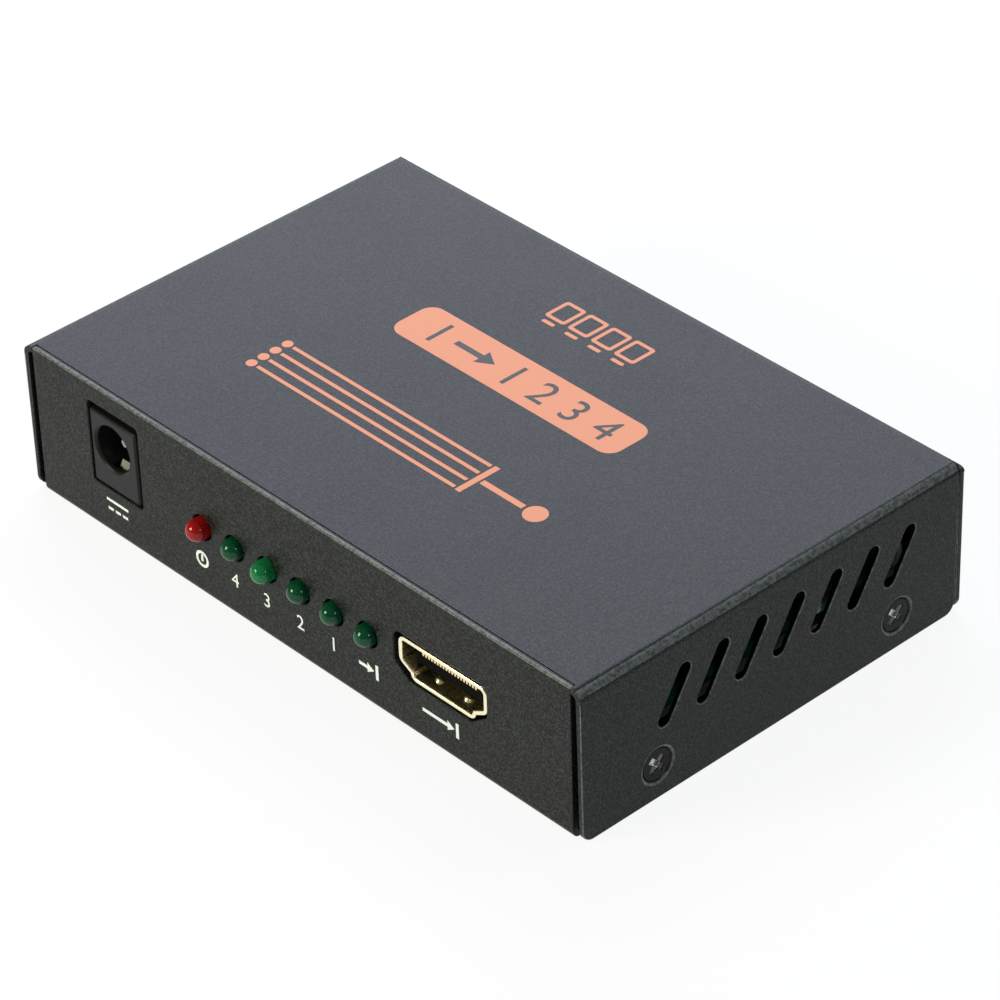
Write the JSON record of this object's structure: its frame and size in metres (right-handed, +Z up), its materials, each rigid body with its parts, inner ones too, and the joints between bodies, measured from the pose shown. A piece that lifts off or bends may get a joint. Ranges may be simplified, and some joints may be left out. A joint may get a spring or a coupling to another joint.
{
  "type": "video signal splitter",
  "caption": "Flat steel box with a power jack, a row of lamps and a video input at the front, video outputs at the rear and slanted vents in both sides.",
  "frame": {"origin": "centre of the case's underside, on the table", "axes": "+X to the right seen from the front, +Y from the front panel to the rear panel, +Z up"},
  "size_m": [0.1, 0.0654, 0.022],
  "materials": {
    "case_paint": "fine powder coat",
    "black_steel": "black plated",
    "board_green": "solder mask",
    "plain_brass": "turned",
    "bright_steel": "zinc or tin plated",
    "dark_plastic": "moulded",
    "bright_plating": "nickel plated",
    "spring_brass": "stamped strip",
    "socket_gold": "gold plated",
    "contact_gold": "gold plated",
    "lamp_red": "clear tinted resin",
    "lamp_green": "clear tinted resin",
    "grey_ferrite": "pressed powder",
    "can_metal": "drawn can",
    "tan_ceramic": "fired"
  },
  "bodies": {
    "case": {"base_tray": "case_paint", "top_cover": "case_paint", "cover_screws": "black_steel", "circuit_board": "board_green", "board_standoffs": "plain_brass", "board_screws": "bright_steel", "jack_body": "dark_plastic", "jack_pin": "bright_plating", "jack_sleeve_terminal": "spring_brass", "jack_switch_terminal": "spring_brass", "input_socket_shell": "socket_gold", "input_socket_tongue": "dark_plastic", "input_socket_contacts": "contact_gold", "output_socket_1_shell": "socket_gold", "output_socket_1_tongue": "dark_plastic", "output_socket_1_contacts": "contact_gold", "output_socket_2_shell": "socket_gold", "output_socket_2_tongue": "dark_plastic", "output_socket_2_contacts": "contact_gold", "output_socket_3_shell": "socket_gold", "output_socket_3_tongue": "dark_plastic", "output_socket_3_contacts": "contact_gold", "output_socket_4_shell": "socket_gold", "output_socket_4_tongue": "dark_plastic", "output_socket_4_contacts": "contact_gold", "power_lamp": "lamp_red", "channel_lamp_1": "lamp_green", "channel_lamp_2": "lamp_green", "channel_lamp_3": "lamp_green", "channel_lamp_4": "lamp_green", "input_lamp": "lamp_green", "lamp_leads": "bright_steel", "splitter_chip": "dark_plastic", "splitter_chip_leads": "bright_steel", "memory_chip": "dark_plastic", "memory_chip_leads": "bright_steel", "voltage_regulator": "dark_plastic", "regulator_leads": "bright_steel", "power_coil": "grey_ferrite", "filter_capacitors": "can_metal", "clock_crystal": "bright_steel", "chip_capacitors": "tan_ceramic", "chip_resistors": "dark_plastic"},
    "leaf_spring": {"jack_leaf_spring": "spring_brass"}
  },
  "joints": [
    {"name": "leaf_flex", "type": "hinge", "parent": "case", "child": "leaf_spring", "pos_m": [-0.0336, -0.0191, 0.00935], "axis": [1, 0, 0], "range_deg": [0, 3.5], "stiffness_Nm_per_rad": 0.3}
  ]
}
